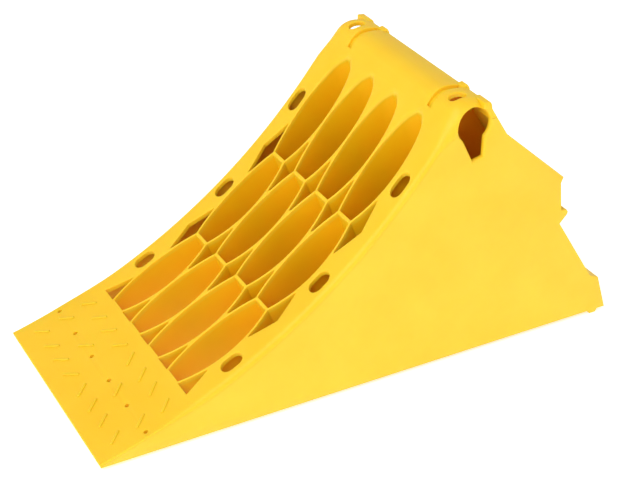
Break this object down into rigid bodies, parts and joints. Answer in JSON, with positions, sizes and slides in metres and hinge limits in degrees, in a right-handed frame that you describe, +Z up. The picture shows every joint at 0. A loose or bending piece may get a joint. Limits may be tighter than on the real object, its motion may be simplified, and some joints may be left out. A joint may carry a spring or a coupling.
{
  "type": "wheel chock",
  "caption": "Wedge-shaped plastic wheel chock with a tyre-shaped pocketed ramp, rounded crest, keyholes in its sides and a hooded hand grip at the back.",
  "frame": {"origin": "on the ground under the middle of the chock, midway between toe and heel and between the side walls", "axes": "+X from the toe to the heel, +Y across the ramp, +Z up"},
  "size_m": [0.47, 0.2, 0.2316],
  "materials": {
    "deck_plastic": "satin moulded yellow",
    "pocket_plastic": "satin moulded yellow",
    "wall_plastic": "satin moulded yellow"
  },
  "bodies": {
    "root": {"toe_plate": "deck_plastic", "left_rail": "deck_plastic", "right_rail": "deck_plastic", "crest": "deck_plastic", "left_ear": "deck_plastic", "right_ear": "deck_plastic", "pocket_row1_column1": "pocket_plastic", "pocket_row1_column2": "pocket_plastic", "pocket_row1_column3": "pocket_plastic", "pocket_row1_column4": "pocket_plastic", "pocket_row2_column1": "pocket_plastic", "pocket_row2_column2": "pocket_plastic", "pocket_row2_column3": "pocket_plastic", "pocket_row2_column4": "pocket_plastic", "pocket_row3_column1": "pocket_plastic", "pocket_row3_column2": "pocket_plastic", "pocket_row3_column3": "pocket_plastic", "pocket_row3_column4": "pocket_plastic", "left_side_wall": "wall_plastic", "right_side_wall": "wall_plastic", "rear_wall": "wall_plastic", "grip_hood": "wall_plastic", "grip_sill": "wall_plastic", "heel_band": "wall_plastic", "toe_rib": "wall_plastic", "left_rear_rib": "wall_plastic", "right_rear_rib": "wall_plastic"}
  },
  "joints": []
}
